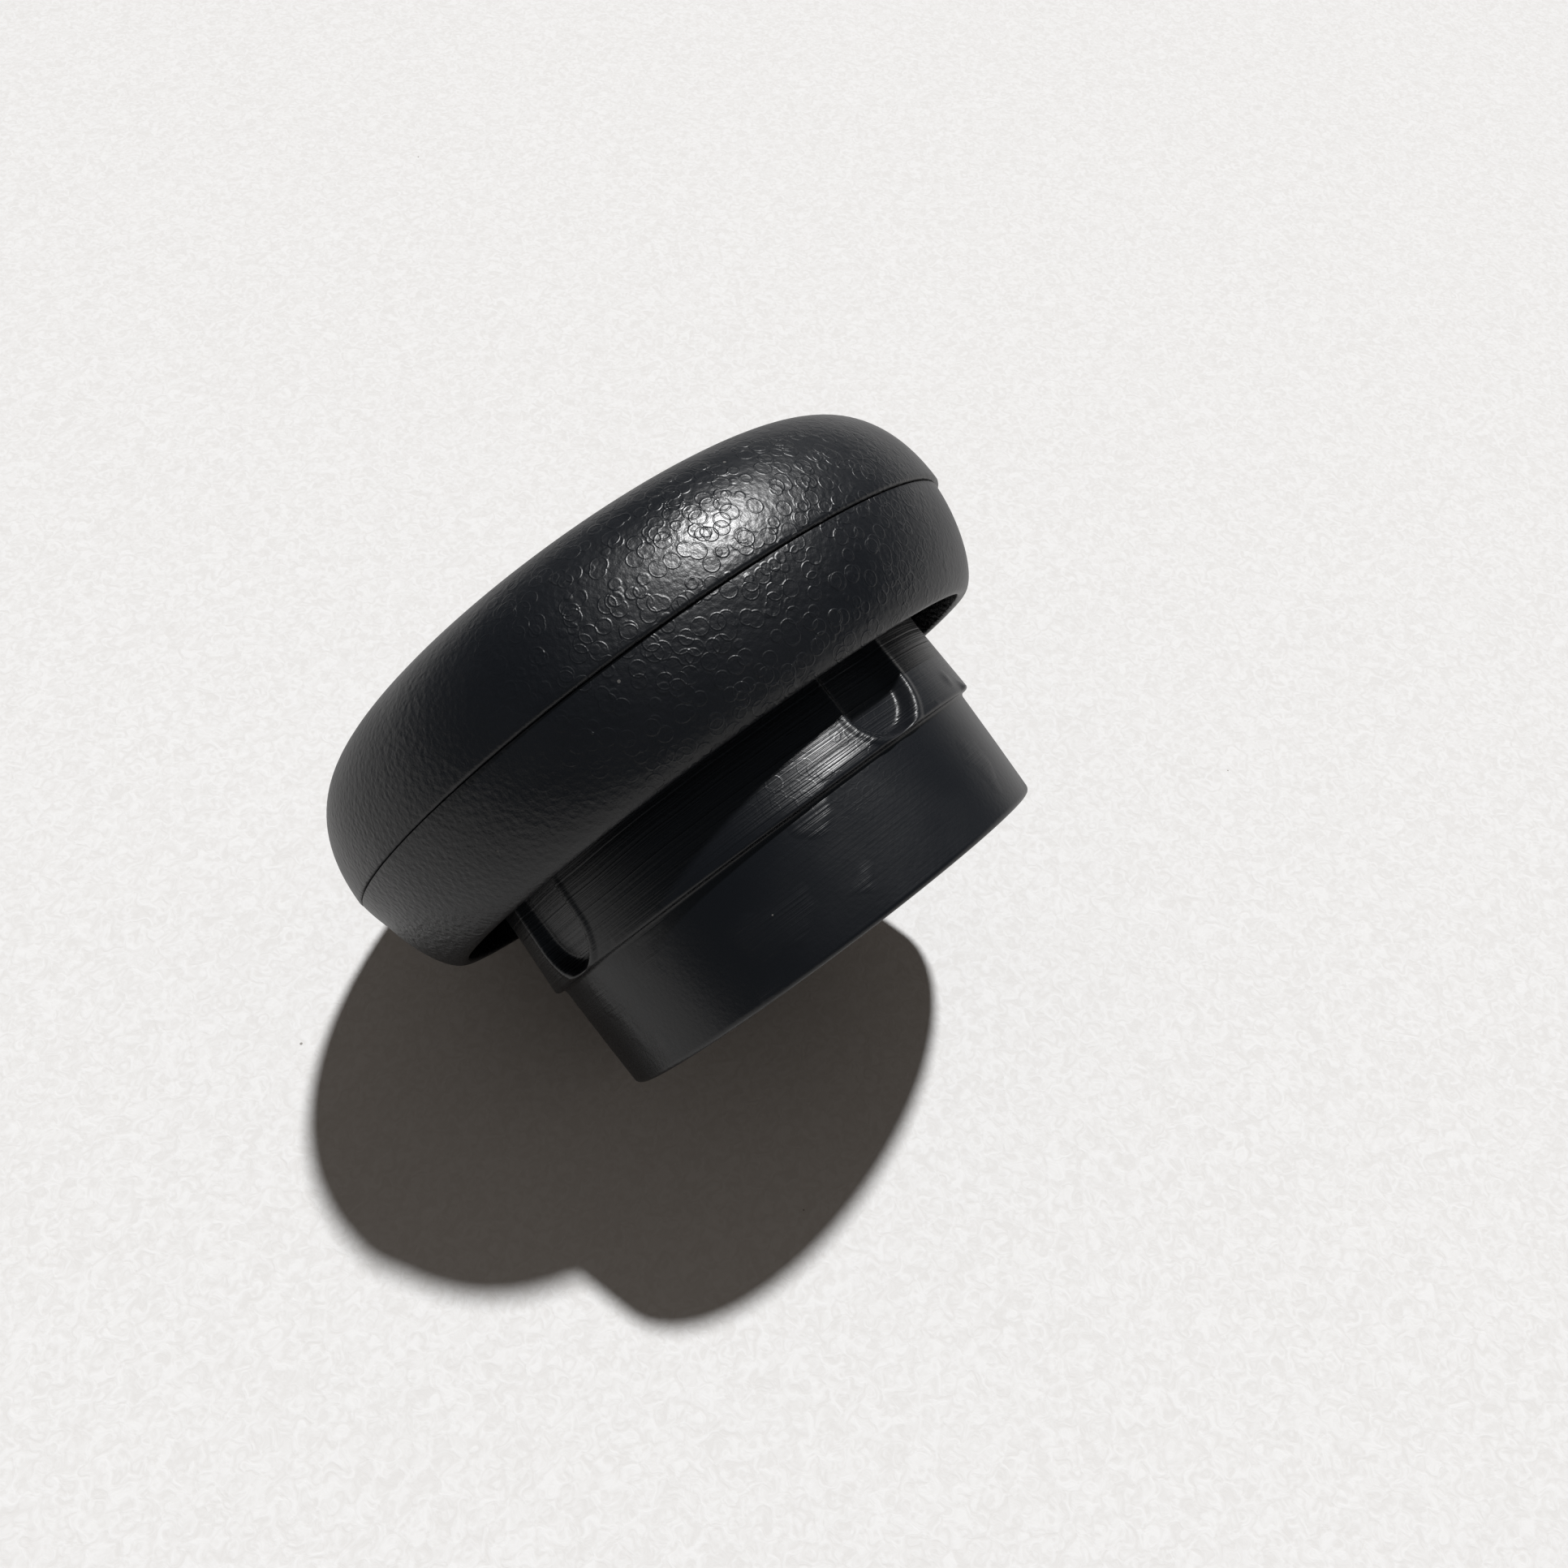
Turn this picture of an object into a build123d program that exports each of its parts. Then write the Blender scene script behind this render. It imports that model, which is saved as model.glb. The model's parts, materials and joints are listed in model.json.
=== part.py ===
from build123d import *
from math import cos, radians, sin
import os

os.makedirs("parts", exist_ok=True)

# A desk cable grommet. z = 0 is the desk's top face, the Z axis is the hole's axis,
# the rim stands above the desk and the collar goes down into the hole. Millimetres.

# Rim: a hollow bun made of an upper and a lower shell that meet at a seam.
rim_radius = 30.0
rim_height = 19.0
seam_height = 8.5
shell_wall = 2.0
seam_step = 0.4          # the upper shell's edge stands proud of the lower shell
seam_gap = 0.2
seam_spigot = 1.6        # height of the lower shell's ring inside the upper shell
ring_wall = 1.6          # wall of that ring
shoulder_fullness = 2.33  # power of the superellipse: 2 is an ellipse, 1 a straight chamfer
underside_fullness = 1.63
lip_gap = 3.9            # from the collar out to the lower shell's lip
lip_land = 0.6           # flat ring under the lip that sits on the desk
lip_height = 1.8         # upright inner side of the lip
edge_round = 0.3
near = 0.01              # how close a chosen edge lies to the place it is chosen by

# Collar: the sleeve in the desk's hole.
collar_radius = 21.7
collar_wall = 3.1
collar_depth = 16.5
band_depth = 6.6
band_step = 0.85
band_round = 0.3
collar_draft = 0.2       # how much the lower part narrows on its radius
tip_round = 0.45
neck_relief = 0.35       # the collar is thinner above the desk, inside the rim
neck_height = 0.2
flange_thickness = 1.6
flange_width = 3.5
register_wall = 1.4

# Scoops: round-bottomed recesses in the band that let a driver reach the screws.
scoop_count = 4
first_scoop = 45.0       # turn of the first scoop from the X axis
scoop_width = 6.2
scoop_depth = 1.3
scoop_land = 0.65        # band left below each scoop
scoop_round = 0.25

# Screws: pan-head, up through the flange and the web into the upper shell's bosses.
screw_offset = 1.3       # from the band's face out to the screw's axis
screw_radius = 1.2
screw_head_radius = 1.9
screw_head_height = 1.5
screw_head_round = 0.6
screw_bite = 6.0         # length inside the boss
point_length = 0.96
point_angle = 40
screw_clearance = 0.1
boss_wall = 1.1
boss_root = 0.2          # how far the bosses run into the crown's wall
drive_slot = 0.5
drive_span = 2.5
drive_depth = 0.8
web_thickness = 1.6
web_drop = 0.5           # from the seam down to the web

# Cap: a turning lid in a recess of the upper shell, gripped by a rubber seal.
cap_thickness = 2.0
cap_gap = 0.3
cap_lift_gap = 0.05      # between the cap's plate and the ledge that it rests on
ledge_thickness = 2.0
ledge_width = 2.7
crown_land = 1.1
spigot_wall = 1.5
spigot_length = 3.4
running_gap = 0.05
seal_wire = 0.5          # the seal's section radius

# Slot and flap: the cables' way through the cap, and the sprung tab that closes it.
slot_width = 13.0
slot_start = 2.6         # slot's inner end, measured from the axis
flap_gap = 0.2
flap_rest_gap = 0.15     # between the closed flap and the spigot's top edge
notch_radius = 3.5       # round cable notch in the flap's free end
notch_reach = 6.0        # from the notch's inner end out to the cap's spigot
knuckle_gap = 0.5        # room for the flap's top edge as it swings up
pin_radius = 0.6
pin_rise = 0.3           # pin's axis above the underside of the cap's plate
ear_length = 2.3
ear_margin = 1.0
pin_chamfer = 0.2
spring_wire = 0.18
spring_turns = 7
spring_leg = 3.6
leg_radius = 0.16

# Radii and heights that follow from the sizes above.
collar_bore = collar_radius - collar_wall
lower_radius = collar_radius - band_step
tip_radius = lower_radius - collar_draft
neck_radius = collar_radius - neck_relief
lip_radius = collar_radius + lip_gap
lower_shell_radius = rim_radius - seam_step
register_radius = collar_bore + register_wall
flange_radius = collar_radius + flange_width
cap_radius = collar_bore + register_wall
recess_radius = cap_radius + cap_gap
crown_radius = recess_radius + crown_land
ledge_radius = recess_radius - ledge_width
ledge_top = rim_height - cap_thickness - cap_lift_gap
ledge_bottom = ledge_top - ledge_thickness
web_top = seam_height - web_drop
web_bottom = web_top - web_thickness
flange_bottom = web_bottom - flange_thickness
screw_ring = collar_radius + screw_offset
screw_hole = screw_radius + screw_clearance
boss_radius = screw_hole + boss_wall
scoop_floor = collar_radius - scoop_depth
scoop_bottom = -band_depth + scoop_land
seam_bore = rim_radius - shell_wall
scoop_centre = scoop_bottom + scoop_width / 2
scoop_turns = [first_scoop + 360 / scoop_count * turn for turn in range(scoop_count)]


def radial_plane(turn, radius):
    """Upright plane that faces outwards at this turn and radius, with its Y along the axis."""
    across, along = cos(radians(turn)), sin(radians(turn))
    return Plane(origin=(radius * across, radius * along, 0),
                 x_dir=(-along, across, 0), z_dir=(across, along, 0))


def from_axis(shape):
    """Distance of a shape's middle from the hole's axis."""
    middle = shape.center()
    return Vector(middle.X, middle.Y).length


def superellipse(start, end, fullness, steps=8):
    """Points of a quarter that leaves start upright and reaches end flat."""
    points = []
    for step in range(steps + 1):
        angle = radians(90 * step / steps)
        out, down = cos(angle) ** (2 / fullness), sin(angle) ** (2 / fullness)
        points.append((end[0] + (start[0] - end[0]) * out, start[1] + (end[1] - start[1]) * down))
    return points


# Upper shell: rounded shoulder, recess and ledge for the cap, inner skirt and four bosses.
shoulder_foot = (rim_radius, seam_height)
shoulder_top = (crown_radius, rim_height)
cavity_foot = (seam_bore, seam_height + seam_spigot + running_gap)
cavity_top = (crown_radius + shell_wall / 2, rim_height - shell_wall)
skirt_outer = recess_radius + running_gap
skirt_inner = register_radius - register_wall + cap_gap
boss_top = rim_height - shell_wall + boss_root

with BuildPart() as upper_shell:
    with BuildSketch(Plane.XZ):
        with BuildLine():
            Spline(*superellipse(shoulder_foot, shoulder_top, shoulder_fullness),
                   tangents=[(0, 1), (-1, 0)])
            Polyline(shoulder_top, (recess_radius, rim_height), (recess_radius, ledge_top),
                     (ledge_radius, ledge_top), (ledge_radius, ledge_bottom),
                     (skirt_inner, ledge_bottom), (skirt_inner, web_top), (skirt_outer, web_top),
                     (skirt_outer, ledge_bottom), cavity_top)
            Spline(*superellipse(cavity_foot, cavity_top, shoulder_fullness),
                   tangents=[(0, 1), (-1, 0)])
            Polyline(cavity_foot, (seam_bore, seam_height), shoulder_foot)
        make_face()
    revolve(axis=Axis.Z)
    with BuildSketch(Plane.XY.offset(web_top)):
        with PolarLocations(screw_ring, scoop_count, first_scoop):
            Circle(boss_radius)
    extrude(amount=boss_top - web_top)
    with BuildSketch(Plane.XY.offset(web_top)):
        with PolarLocations(screw_ring, scoop_count, first_scoop):
            Circle(screw_hole)
    extrude(amount=screw_bite + screw_clearance, mode=Mode.SUBTRACT)
    rim_edges = upper_shell.edges().filter_by(GeomType.CIRCLE).filter_by_position(
        Axis.Z, seam_height - near, seam_height + near)
    fillet(rim_edges.filter_by(lambda edge: edge.radius > rim_radius - near), edge_round)
    mouth_edges = upper_shell.edges().filter_by(GeomType.CIRCLE).filter_by_position(
        Axis.Z, rim_height - near, rim_height + near)
    fillet(mouth_edges.filter_by(lambda edge: edge.radius < recess_radius + near), edge_round)

# Lower shell: rolled under to the lip, with a web that the screws clamp.
underside_top = (lower_shell_radius, seam_height - seam_gap)
underside_foot = (lip_radius + lip_land, 0)
lip_top = (lip_radius, lip_height)
web_corner = (lower_shell_radius - shell_wall, web_bottom)
web_bore = register_radius + screw_clearance
spigot_radius = seam_bore - running_gap
spigot_inner = spigot_radius - ring_wall

with BuildPart() as lower_shell:
    with BuildSketch(Plane.XZ):
        with BuildLine():
            Spline(*superellipse(underside_top, underside_foot, underside_fullness),
                   tangents=[(0, -1), (-1, 0)])
            Polyline(underside_foot, (lip_radius, 0), lip_top)
            Spline(*superellipse(web_corner, lip_top, underside_fullness),
                   tangents=[(0, -1), (-1, 0)])
            Polyline(web_corner, (web_bore, web_bottom), (web_bore, web_top),
                     (spigot_inner, web_top), (spigot_inner, seam_height + seam_spigot),
                     (spigot_radius, seam_height + seam_spigot),
                     (spigot_radius, seam_height - seam_gap), underside_top)
        make_face()
    revolve(axis=Axis.Z)
    with BuildSketch(Plane.XY.offset(web_bottom)):
        with PolarLocations(screw_ring, scoop_count, first_scoop):
            Circle(screw_hole)
    extrude(amount=web_thickness, mode=Mode.SUBTRACT)
    lip_edges = lower_shell.edges().filter_by(GeomType.CIRCLE)
    fillet(lip_edges.filter_by(lambda edge: abs(edge.radius - lip_radius) < near), edge_round)

# Collar: register ring, screw flange, band with scoops and a slightly tapered lower part.
with BuildPart() as collar:
    with BuildSketch(Plane.XZ):
        with BuildLine():
            Polyline((collar_bore, -collar_depth), (tip_radius, -collar_depth),
                     (lower_radius, -band_depth), (collar_radius, -band_depth),
                     (collar_radius, neck_height), (neck_radius, neck_height + neck_relief),
                     (neck_radius, flange_bottom), (flange_radius, flange_bottom),
                     (flange_radius, web_bottom), (register_radius, web_bottom),
                     (register_radius, web_top - running_gap),
                     (collar_bore, web_top - running_gap), (collar_bore, -collar_depth))
        make_face()
    revolve(axis=Axis.Z)
    band_edges = collar.edges().filter_by(GeomType.CIRCLE).filter_by_position(
        Axis.Z, -band_depth - near, -band_depth + near)
    fillet(band_edges.filter_by(lambda edge: edge.radius > collar_radius - near), band_round)
    tip_edges = collar.edges().filter_by(GeomType.CIRCLE).group_by(Axis.Z)[0]
    fillet(tip_edges, tip_round)
    with BuildSketch(Plane.XY.offset(flange_bottom)):
        with PolarLocations(screw_ring, scoop_count, first_scoop):
            Circle(screw_hole)
    extrude(amount=flange_thickness, mode=Mode.SUBTRACT)
    with BuildSketch(*[radial_plane(turn, scoop_floor) for turn in scoop_turns]):
        with Locations((0, scoop_centre)):
            Circle(scoop_width / 2)
        with Locations((0, (scoop_centre + flange_bottom) / 2)):
            Rectangle(scoop_width, flange_bottom - scoop_centre)
    extrude(amount=scoop_depth * 2, mode=Mode.SUBTRACT)
    scoop_edges = collar.edges(Select.LAST).filter_by(
        lambda edge: edge.center().Z < flange_bottom - edge_round)
    fillet(scoop_edges.filter_by(lambda edge: from_axis(edge) > collar_radius - near),
           scoop_round)

# Screws: each head sits under the flange, over a scoop.
shank_top = web_top + screw_bite - point_length - screw_clearance

with BuildPart() as collar_screws:
    with BuildSketch(Plane.XY.offset(flange_bottom - screw_head_height)):
        with PolarLocations(screw_ring, scoop_count, first_scoop):
            Circle(screw_head_radius)
    extrude(amount=screw_head_height)
    head_faces = collar_screws.faces().group_by(Axis.Z)[0]
    fillet(head_faces.edges(), screw_head_round)
    with BuildSketch(Plane.XY.offset(flange_bottom - screw_head_height)):
        with PolarLocations(screw_ring, scoop_count, first_scoop):
            Rectangle(drive_span, drive_slot)
            Rectangle(drive_slot, drive_span)
    extrude(amount=drive_depth, mode=Mode.SUBTRACT)
    with BuildSketch(Plane.XY.offset(flange_bottom)):
        with PolarLocations(screw_ring, scoop_count, first_scoop):
            Circle(screw_radius)
    extrude(amount=shank_top - flange_bottom)
    with BuildSketch(Plane.XY.offset(shank_top)):
        with PolarLocations(screw_ring, scoop_count, first_scoop):
            Circle(screw_radius)
    extrude(amount=point_length, taper=point_angle)

# Seal: a rubber ring in the groove of the cap's spigot, gripping the ledge.
spigot_outer = ledge_radius - running_gap
spigot_inner_radius = spigot_outer - spigot_wall
plate_bottom = rim_height - cap_thickness
seal_height = (ledge_top + ledge_bottom) / 2
seal_centre = ledge_radius - running_gap / 2 - seal_wire
groove_floor = seal_centre - seal_wire - running_gap
groove_height = 2 * (seal_wire + running_gap)

with BuildPart() as cap_seal:
    with BuildSketch(Plane.XZ):
        with Locations((seal_centre, seal_height)):
            Circle(seal_wire)
    revolve(axis=Axis.Z)

# Cap: plate, spigot with the seal's groove, cable slot, and two ears for the flap's pin.
pin_height = plate_bottom + pin_rise
knuckle_radius = cap_thickness - pin_rise
pin_place = slot_start + knuckle_gap + knuckle_radius
slot_half = slot_width / 2
pin_hole = pin_radius + running_gap
ear_width = 2 * (pin_radius + ear_margin)
ear_bottom = pin_height - pin_radius - ear_margin

with BuildPart() as cap:
    with BuildSketch(Plane.XZ):
        with BuildLine():
            Polyline((0, plate_bottom), (spigot_inner_radius, plate_bottom),
                     (spigot_inner_radius, plate_bottom - spigot_length),
                     (spigot_outer, plate_bottom - spigot_length),
                     (spigot_outer, seal_height - groove_height / 2),
                     (groove_floor, seal_height - groove_height / 2),
                     (groove_floor, seal_height + groove_height / 2),
                     (spigot_outer, seal_height + groove_height / 2),
                     (spigot_outer, plate_bottom), (cap_radius, plate_bottom),
                     (cap_radius, rim_height), (0, rim_height), (0, plate_bottom))
        make_face()
    revolve(axis=Axis.Z)
    fillet(cap.edges().filter_by(GeomType.CIRCLE).group_by(Axis.Z)[-1], edge_round)
    with BuildSketch(Plane.XY.offset(plate_bottom)):
        with Locations((0, slot_start + cap_radius / 2)):
            Rectangle(slot_width, cap_radius)
    extrude(amount=cap_thickness, mode=Mode.SUBTRACT)
    with BuildSketch(Plane.XY.offset(ear_bottom)):
        for side in (-1, 1):
            with Locations((side * (slot_half + ear_length / 2), pin_place)):
                Rectangle(ear_length, ear_width)
    extrude(amount=plate_bottom - ear_bottom)
    with BuildSketch(Plane.YZ.offset(-slot_half - ear_length)):
        with Locations((pin_place, pin_height)):
            Circle(pin_hole)
    extrude(amount=slot_width + 2 * ear_length, mode=Mode.SUBTRACT)

# Flap: a tab with a knuckle along its inner end and a cable notch in its free end.
flap_half = slot_half - flap_gap
flap_bottom = plate_bottom + flap_rest_gap
flap_thickness = cap_thickness - flap_rest_gap
notch_centre = spigot_inner_radius - notch_reach + notch_radius
spring_radius = pin_radius + running_gap + 2 * spring_wire
spring_half = spring_turns * spring_wire
spring_room = spring_half + flap_gap
room_size = 2 * (knuckle_radius + flap_gap)

with BuildPart() as cable_flap:
    with BuildSketch(Plane.XY.offset(flap_bottom)):
        Circle(cap_radius)
        with Locations((0, pin_place + cap_radius / 2)):
            Rectangle(2 * flap_half, cap_radius, mode=Mode.INTERSECT)
    extrude(amount=flap_thickness)
    with BuildSketch(Plane.YZ.offset(-flap_half)):
        with Locations((pin_place, pin_height)):
            Circle(knuckle_radius)
    extrude(amount=2 * flap_half)
    with BuildSketch(Plane.XY.offset(flap_bottom)):
        with Locations((0, notch_centre)):
            Circle(notch_radius)
        with Locations((0, notch_centre + cap_radius / 2)):
            Rectangle(2 * notch_radius, cap_radius)
    extrude(amount=flap_thickness, mode=Mode.SUBTRACT)
    with BuildSketch(Plane.YZ.offset(-flap_half)):
        with Locations((pin_place, pin_height)):
            Circle(pin_hole)
    extrude(amount=2 * flap_half, mode=Mode.SUBTRACT)
    with BuildSketch(Plane.YZ.offset(-spring_room)):
        with Locations((pin_place, pin_height)):
            Circle(spring_radius + flap_gap)
            Rectangle(room_size, room_size, align=(Align.MAX, Align.CENTER))
        with Locations((pin_place, flap_bottom)):
            Rectangle(room_size, room_size, align=(Align.MIN, Align.MAX))
    extrude(amount=2 * spring_room, mode=Mode.SUBTRACT)

# Pin: it is held in the cap's ears and the flap turns on it.
pin_half = slot_half + ear_length - running_gap

with BuildPart() as flap_pin:
    with BuildSketch(Plane.YZ.offset(-pin_half)):
        with Locations((pin_place, pin_height)):
            Circle(pin_radius)
    extrude(amount=2 * pin_half)
    chamfer(flap_pin.edges().filter_by(GeomType.CIRCLE), pin_chamfer)

# Spring: a close-wound coil round the pin, one leg under the cap, one under the flap.
coil_bore = pin_radius + running_gap
leg_start = coil_bore + spring_wire
cap_leg_height = plate_bottom - running_gap - spring_wire
flap_leg_height = flap_bottom - running_gap - spring_wire

with BuildPart() as flap_spring:
    with BuildSketch(Plane.YZ.offset(-spring_half)):
        with Locations((pin_place, pin_height)):
            Circle(spring_radius)
            Circle(coil_bore, mode=Mode.SUBTRACT)
    extrude(amount=2 * spring_half)
    with BuildSketch(Plane.XZ.offset(-pin_place - leg_start)):
        with Locations((spring_half - spring_wire, flap_leg_height)):
            Circle(leg_radius)
    extrude(amount=-spring_leg)
    with BuildSketch(Plane.XZ.offset(-pin_place + leg_start)):
        with Locations((spring_wire - spring_half, cap_leg_height)):
            Circle(leg_radius)
    extrude(amount=spring_leg)

pieces = {
    "upper_shell": upper_shell,
    "lower_shell": lower_shell,
    "collar": collar,
    "collar_screws": collar_screws,
    "cap_seal": cap_seal,
    "cap": cap,
    "cable_flap": cable_flap,
    "flap_pin": flap_pin,
    "flap_spring": flap_spring,
}
for name, piece in pieces.items():
    piece.part.label = name
    export_step(piece.part, f"parts/{name}.step")
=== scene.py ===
# %% [markdown]
# # A desk cable grommet
# A grommet lines the hole that cables take through a desk top. This one is black moulded plastic:
# a fat round rim made of two shells, a collar that goes down into the hole, and a turning cap with
# a small sprung flap for the cables. The sizes and places of its parts are already fixed by a
# solid model, which is loaded first. Each part is then modelled again on top of it with softer
# edges and a real finish, and takes its place from the solid part's own box.

# %% Load the solid model
import json
from contextlib import contextmanager
from math import atan2, ceil, cos, degrees, hypot, pi, radians, sin, tau

import bmesh
import bpy
from mathutils import Matrix, Vector


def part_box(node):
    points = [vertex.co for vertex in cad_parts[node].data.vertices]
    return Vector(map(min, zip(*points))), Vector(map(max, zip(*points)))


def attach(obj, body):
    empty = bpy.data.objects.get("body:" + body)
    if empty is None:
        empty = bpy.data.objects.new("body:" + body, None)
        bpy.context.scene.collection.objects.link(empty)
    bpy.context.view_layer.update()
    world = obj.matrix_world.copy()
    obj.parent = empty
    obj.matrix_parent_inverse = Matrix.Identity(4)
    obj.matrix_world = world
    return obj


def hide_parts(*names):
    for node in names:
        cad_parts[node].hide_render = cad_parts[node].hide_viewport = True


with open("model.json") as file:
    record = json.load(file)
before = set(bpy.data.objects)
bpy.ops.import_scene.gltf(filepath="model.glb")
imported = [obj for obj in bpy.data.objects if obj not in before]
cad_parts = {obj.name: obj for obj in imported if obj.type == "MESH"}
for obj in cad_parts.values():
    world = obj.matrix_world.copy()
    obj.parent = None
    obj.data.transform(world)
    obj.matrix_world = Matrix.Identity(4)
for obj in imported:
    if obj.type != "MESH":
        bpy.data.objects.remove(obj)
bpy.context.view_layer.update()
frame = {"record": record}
MM = 0.001
SAME = 1e-7

# %% [markdown]
# ## Sizes
# Blender works in metres, but a part this small is easier to think about in millimetres: MM is one
# of them, and SAME is the gap, in metres, under which two points count as one. A helper reads a
# solid part's box in millimetres, and the main sizes are taken from those boxes, so that the visual
# parts can't drift away from the solid ones. The band's radius is the size of the desk's hole, so
# it comes from the mount that the record states.

# %% Read the main sizes
def corners(node):
    """Lowest and highest corner of a solid part, in millimetres."""
    low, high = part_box(node)
    return low / MM, high / MM


rim_low, rim_high = corners("upper_shell")
_, shell_high = corners("lower_shell")
collar_low, collar_high = corners("collar")
cap_low, cap_high = corners("cap")
_, flap_high = corners("cable_flap")
pin_low, pin_high = corners("flap_pin")
coil_low, coil_high = corners("flap_spring")
seal_low, seal_high = corners("cap_seal")
screw_low, screw_high = corners("collar_screws")

rim_radius = rim_high.x
rim_top = rim_high.z
ring_top = shell_high.z
collar_tip = collar_low.z
collar_top = collar_high.z
flange_radius = collar_high.x
cap_radius = cap_high.x
desk_mount = next(m for m in frame["record"]["mounts"] if m["name"] == "desk_hole_collar")
band_radius = desk_mount["dims"]["r_mm"]

print("rim radius", round(rim_radius, 2), "top", round(rim_top, 2), "band", band_radius)

# %% [markdown]
# ## The camera
# The grommet is seen from the side and a little from below the desk's plane, with the camera
# rolled, so that the collar points down to the right. A camera could be aimed at the part with a
# constraint, but three plain turns say the same and stay readable: round the hole's axis, up from
# straight down, and the roll about the line of sight.

# %% Place the camera
def towards(azimuth, elevation=0.0):
    """Direction that leaves the axis at an azimuth, counted from -Y towards +X, and an elevation."""
    turn, rise = radians(azimuth), radians(elevation)
    return Vector((sin(turn) * cos(rise), -cos(turn) * cos(rise), sin(rise)))


camera_azimuth = 5.3
camera_distance = 124.5
camera_sideways = 4.29
camera_height = -8.29
camera_tilt = 2.13
camera_roll = -36.8

camera = bpy.data.objects.new("camera", bpy.data.cameras.new("camera"))
bpy.context.scene.collection.objects.link(camera)
camera.data.lens = 33.28
camera.data.clip_start = 5 * MM
camera_place = towards(camera_azimuth) * camera_distance
camera_place += towards(camera_azimuth + 90) * camera_sideways
camera_place.z = camera_height
camera.matrix_world = (
    Matrix.Translation(camera_place * MM)
    @ Matrix.Rotation(radians(camera_azimuth), 4, "Z")
    @ Matrix.Rotation(radians(90 + camera_tilt), 4, "X")
    @ Matrix.Rotation(radians(camera_roll), 4, "Z")
)
bpy.context.scene.camera = camera

print("camera at", [round(x, 1) for x in camera_place], "mm")

# %% [markdown]
# ## Working by hand, in code
# The edit-mode tools act on whatever is selected. The first three helpers do what a person does
# with the mouse: make one object the active one, go in and out of edit mode, and select only the
# points, edges or faces that lie where they are wanted. The last two add a modifier and apply it,
# and shade a finished piece smooth. Weighted normals keep its flat faces flat right up to their
# rounded edges.

# %% Selection helpers
def only(piece):
    """Selects one object alone and makes it active."""
    bpy.ops.object.select_all(action="DESELECT")
    piece.select_set(True)
    bpy.context.view_layer.objects.active = piece


@contextmanager
def editing(piece):
    """Edit mode on one object, with nothing selected at first."""
    only(piece)
    bpy.ops.object.mode_set(mode="EDIT")
    bpy.ops.mesh.select_all(action="DESELECT")
    yield
    bpy.ops.object.mode_set(mode="OBJECT")


def pick(piece, kind, test):
    """In edit mode, selects only the verts, edges or faces that pass the test."""
    bpy.ops.mesh.select_mode(type=kind)
    bpy.ops.mesh.select_all(action="DESELECT")
    mesh = bmesh.from_edit_mesh(piece.data)
    for item in {"VERT": mesh.verts, "EDGE": mesh.edges, "FACE": mesh.faces}[kind]:
        item.select_set(test(item))
    mesh.select_flush_mode()
    bmesh.update_edit_mesh(piece.data)


def use(piece, kind, **settings):
    """Adds a modifier, applies it and leaves plain mesh behind."""
    only(piece)
    modifier = piece.modifiers.new(kind.title(), kind)
    for name, value in settings.items():
        setattr(modifier, name, value)
    bpy.ops.object.modifier_apply(modifier=modifier.name)


def smooth(piece, angle=32):
    """Smooth shading that keeps the edges that turn by more than the angle, in degrees."""
    only(piece)
    bpy.ops.object.shade_smooth_by_angle(angle=radians(angle))
    use(piece, "WEIGHTED_NORMAL", keep_sharp=True)


print("selection helpers ready")

# %% [markdown]
# ## Turned parts
# Nearly every part of a grommet is round, so it could be cut out of a cylinder, or lathed. Lathing
# suits it best: the cross-section is drawn once, its corners are rounded while it is still a flat
# loop, and the loop is spun round the axis. The loop starts as a circle with as many points as
# the section has corners, and its points are pulled to the section's corners. A corner may carry a
# third number, the size of its rounding. Bulging stretches come from one formula, a quarter of a
# superellipse, whose power says how square the bulge is.

# %% Section and spin
def quarter(start, end, power, steps=20):
    """Points of a quarter that leaves start upright and reaches end flat."""
    points = []
    for step in range(steps + 1):
        angle = pi / 2 * step / steps
        out, along = cos(angle) ** (2 / power), sin(angle) ** (2 / power)
        points.append((end[0] + (start[0] - end[0]) * out, start[1] + (end[1] - start[1]) * along))
    return points


def section(name, outline, arc=5):
    """A closed loop in the XZ plane through (radius, height[, rounding]) corners, in millimetres."""
    bpy.ops.object.select_all(action="DESELECT")
    bpy.ops.mesh.primitive_circle_add(vertices=len(outline), radius=MM)
    piece = bpy.context.object
    piece.name = piece.data.name = name
    for vertex, corner in zip(piece.data.vertices, outline):
        vertex.co = (corner[0] * MM, 0, corner[1] * MM)
    with editing(piece):
        for size in sorted({corner[2] for corner in outline if len(corner) == 3}):
            places = [Vector((c[0], 0, c[1])) * MM for c in outline if len(c) == 3 and c[2] == size]
            pick(piece, "VERT", lambda v: any((v.co - p).length < SAME for p in places))
            bpy.ops.mesh.bevel(offset=size * MM, segments=arc, affect="VERTICES")
    return piece


def turned(name, outline, steps=256, arc=5):
    """A closed section spun once round the axis, less any edge that lies on the axis."""
    piece = section(name, outline, arc)
    with editing(piece):
        pick(piece, "EDGE", lambda e: all(v.co.x < SAME for v in e.verts))
        bpy.ops.mesh.delete(type="EDGE")
        bpy.ops.mesh.select_all(action="SELECT")
        bpy.ops.mesh.spin(steps=steps, angle=tau, center=(0, 0, 0), axis=(0, 0, 1))
        bpy.ops.mesh.select_all(action="SELECT")
        bpy.ops.mesh.remove_doubles(threshold=SAME)
        bpy.ops.mesh.normals_make_consistent(inside=False)
    print(name, len(piece.data.polygons), "faces")
    return piece


print("a quarter has", len(quarter((1, 0), (0, 1), 2)), "points")

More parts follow.
